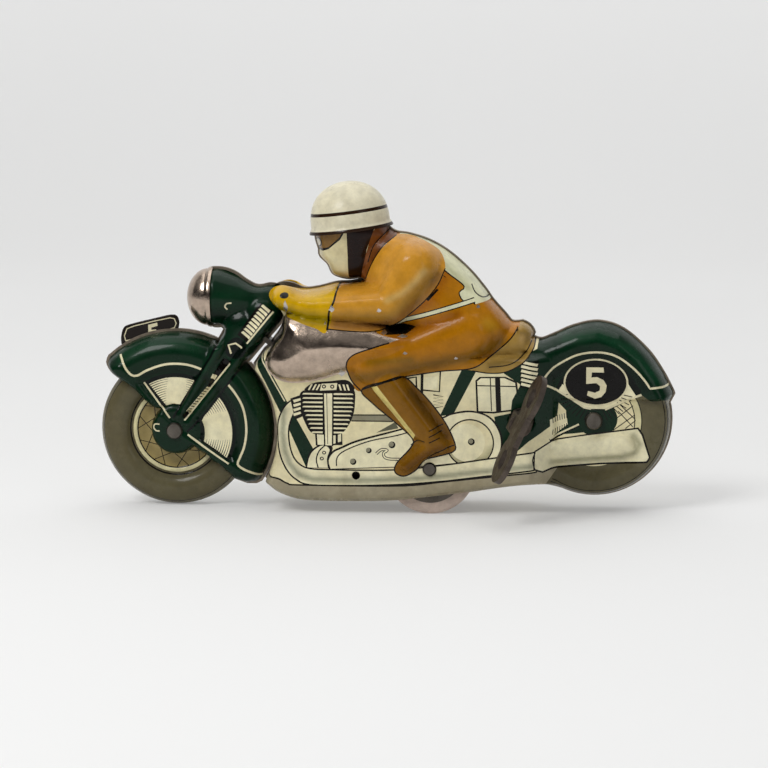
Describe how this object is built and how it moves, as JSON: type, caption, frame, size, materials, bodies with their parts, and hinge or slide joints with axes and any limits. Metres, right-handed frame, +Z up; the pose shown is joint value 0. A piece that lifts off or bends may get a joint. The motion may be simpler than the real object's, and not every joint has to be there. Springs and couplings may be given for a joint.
{
  "type": "wind-up toy motorcycle",
  "caption": "Lithographed tin wind-up racing motorcycle with a crouched rider, steerable fork with rolling front wheel, clockwork drive to two rubber-tyred wheels, and a winding key.",
  "frame": {"origin": "on the floor, in the seam plane between the two half shells, at the middle of the toy's length", "axes": "the motorcycle heads towards -X, +Y is the rider's right side, +Z is up"},
  "size_m": [0.1272, 0.0414, 0.0713],
  "materials": {
    "litho_tin": "glossy lithographed tinplate, worn",
    "fork_green": "glossy dark green lithographed tinplate",
    "nickel": "dull nickel plate",
    "helmet_white": "glossy cream lacquer",
    "plate_black": "glossy black lacquer",
    "wheel_litho": "lithographed tinplate",
    "steel": "plain sheet steel, slightly rusted",
    "brass": "stamped brass",
    "rubber": "aged off-white rubber",
    "key_steel": "dark oxidised steel"
  },
  "bodies": {
    "machine": {"left_body_shell": "litho_tin", "right_body_shell": "litho_tin", "helmet": "helmet_white", "rear_hub_rivet": "steel", "movement_plate_left": "steel", "movement_plate_right": "steel", "movement_post_1": "steel", "movement_post_2": "steel", "movement_post_3": "steel", "movement_post_4": "steel", "spring_post": "steel", "mainspring": "steel", "steering_bracket": "steel"},
    "fork": {"fork_left_shell": "fork_green", "fork_right_shell": "fork_green", "headlamp_cap": "nickel", "front_plate": "plate_black", "steering_pin": "steel", "fork_bridge": "steel", "front_axle": "steel"},
    "front_wheel": {"front_wheel_left_disc": "wheel_litho", "front_wheel_right_disc": "wheel_litho", "front_wheel_bush": "brass"},
    "great_wheel": {"great_wheel": "brass", "click_rivet": "steel"},
    "click": {"click": "steel"},
    "winding_key": {"winding_arbor": "steel", "ratchet_wheel": "steel", "key_barrel": "key_steel", "key_blade": "key_steel"},
    "second_arbor": {"second_arbor": "steel", "second_pinion": "brass", "second_wheel": "brass"},
    "drive_axle": {"drive_axle": "steel", "drive_pinion": "brass", "drive_wheel_left": "steel", "drive_wheel_right": "steel", "drive_tyre_left": "rubber", "drive_tyre_right": "rubber"},
    "governor": {"governor_arbor": "steel", "governor_pinion": "brass", "governor_fly": "steel"}
  },
  "joints": [
    {"name": "steering", "type": "hinge", "parent": "machine", "child": "fork", "pos_m": [-0.0288, 0, 0.03875], "axis": [0.6428, 0, 0.766], "range_deg": [-14, 14]},
    {"name": "front_wheel_spin", "type": "hinge", "parent": "fork", "child": "front_wheel", "pos_m": [-0.0463, 0, 0.0168], "axis": [0, -1, 0], "continuous": true},
    {"name": "great_wheel_spin", "type": "hinge", "parent": "machine", "child": "great_wheel", "pos_m": [0.0297, 0, 0.0208], "axis": [0, -1, 0], "continuous": true, "deforming": ["mainspring"]},
    {"name": "winding", "type": "hinge", "parent": "great_wheel", "child": "winding_key", "pos_m": [0.0297, 0, 0.0208], "axis": [0, -1, 0], "continuous": true},
    {"name": "click_lift", "type": "hinge", "parent": "great_wheel", "child": "click", "pos_m": [0.033, 0, 0.02652], "axis": [0, -1, 0], "range_deg": [0, 12]},
    {"name": "second_arbor_spin", "type": "hinge", "parent": "machine", "child": "second_arbor", "pos_m": [0.01739, 0, 0.01663], "axis": [0, -1, 0], "continuous": true},
    {"name": "drive_axle_spin", "type": "hinge", "parent": "machine", "child": "drive_axle", "pos_m": [0.0099, 0, 0.01], "axis": [0, -1, 0], "continuous": true},
    {"name": "governor_spin", "type": "hinge", "parent": "machine", "child": "governor", "pos_m": [0.009, 0, 0.02109], "axis": [0, -1, 0], "continuous": true}
  ],
  "couplings": [
    {"joint": "second_arbor_spin", "follows": "drive_axle_spin", "ratio": -0.33333},
    {"joint": "great_wheel_spin", "follows": "drive_axle_spin", "ratio": 0.079365},
    {"joint": "governor_spin", "follows": "drive_axle_spin", "ratio": 1.25}
  ]
}
